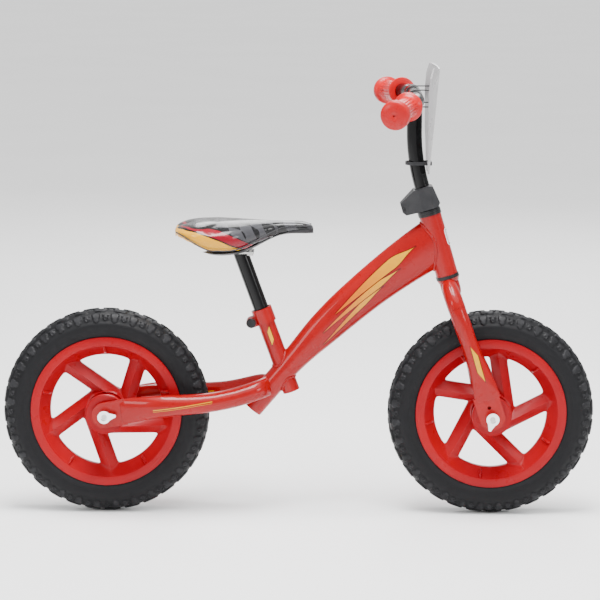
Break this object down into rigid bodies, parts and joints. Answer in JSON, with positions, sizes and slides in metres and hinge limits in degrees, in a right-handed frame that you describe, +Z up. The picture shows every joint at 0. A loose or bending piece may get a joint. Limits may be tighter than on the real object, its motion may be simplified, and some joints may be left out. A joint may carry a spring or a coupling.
{
  "type": "balance bike",
  "caption": "Child's balance bike: steel frame and fork, moulded plastic wheels with rubber tyres, padded saddle and a swept handlebar with a plain number plate.",
  "frame": {"origin": "on the ground, half way between the wheel contact points, in the bike's middle plane", "axes": "+X to the front of the bike, +Y to its left, +Z up"},
  "size_m": [0.8729, 0.4256, 0.6639],
  "materials": {
    "frame_paint": "gloss",
    "black_steel": "satin",
    "black_paint": "gloss",
    "plain_steel": "satin",
    "chrome_caps": "polished",
    "black_plastic": "satin",
    "wheel_plastic": "satin gloss",
    "tyre_rubber": "matt",
    "grip_rubber": "satin",
    "plate_plastic": "gloss",
    "saddle_foam": "matt",
    "saddle_vinyl": "gloss"
  },
  "bodies": {
    "frame": {"main_tube": "frame_paint", "main_tube_end_plug": "black_plastic", "head_tube": "frame_paint", "seat_tube": "frame_paint", "chainstay_left": "frame_paint", "chainstay_right": "frame_paint", "seat_clamp_collar": "frame_paint", "seat_clamp_bolt": "black_steel", "seat_clamp_nut": "black_steel", "headset_lower_cup": "black_steel", "headset_upper_cup": "black_steel", "lower_bearing_balls": "plain_steel", "upper_bearing_balls": "plain_steel", "rear_axle": "plain_steel", "rear_axle_inner_spacer": "plain_steel", "rear_axle_end_spacers": "plain_steel", "rear_axle_washers": "plain_steel", "rear_axle_nuts": "chrome_caps"},
    "fork": {"steerer_tube": "plain_steel", "fork_crown": "frame_paint", "fork_blade_left": "frame_paint", "fork_blade_right": "frame_paint", "crown_race": "frame_paint", "headset_top_nut": "black_steel", "stem_clamp_ring": "plain_steel", "stem_clamp_bolt": "plain_steel", "stem_clamp_nut": "plain_steel", "stem_cover_left": "black_plastic", "stem_cover_right": "black_plastic", "stem_cover_screws": "plain_steel", "front_axle": "plain_steel", "front_axle_inner_spacer": "plain_steel", "front_axle_end_spacers": "plain_steel", "front_axle_washers": "plain_steel", "front_axle_nuts": "chrome_caps"},
    "handlebar": {"handlebar_post": "black_paint", "handlebar_crossbar": "black_paint", "grip_left": "grip_rubber", "grip_right": "grip_rubber", "number_plate": "plate_plastic", "number_plate_ties": "black_plastic"},
    "front_wheel": {"front_wheel": "wheel_plastic", "front_tyre": "tyre_rubber", "front_wheel_bearings": "plain_steel"},
    "rear_wheel": {"rear_wheel": "wheel_plastic", "rear_tyre": "tyre_rubber", "rear_wheel_bearings": "plain_steel"},
    "saddle": {"seat_post": "black_paint", "saddle_bracket": "plain_steel", "saddle_screws": "plain_steel", "saddle_base": "black_plastic", "saddle_foam": "saddle_foam", "saddle_cover": "saddle_vinyl"}
  },
  "joints": [
    {"name": "steering", "type": "hinge", "parent": "frame", "child": "fork", "pos_m": [0.21705, 0, 0.3574], "axis": [-0.284, 0, 0.9588], "range_deg": [-90, 90]},
    {"name": "handlebar_height", "type": "slide", "parent": "fork", "child": "handlebar", "axis": [-0.284, 0, 0.9588], "range_m": [0, 0.04]},
    {"name": "front_wheel_spin", "type": "hinge", "parent": "fork", "child": "front_wheel", "pos_m": [0.284, 0, 0.1525], "axis": [0, 1, 0], "continuous": true},
    {"name": "rear_wheel_spin", "type": "hinge", "parent": "frame", "child": "rear_wheel", "pos_m": [-0.284, 0, 0.1525], "axis": [0, 1, 0], "continuous": true},
    {"name": "saddle_height", "type": "slide", "parent": "frame", "child": "saddle", "axis": [-0.3437, 0, 0.9391], "range_m": [-0.045, 0.03]}
  ]
}
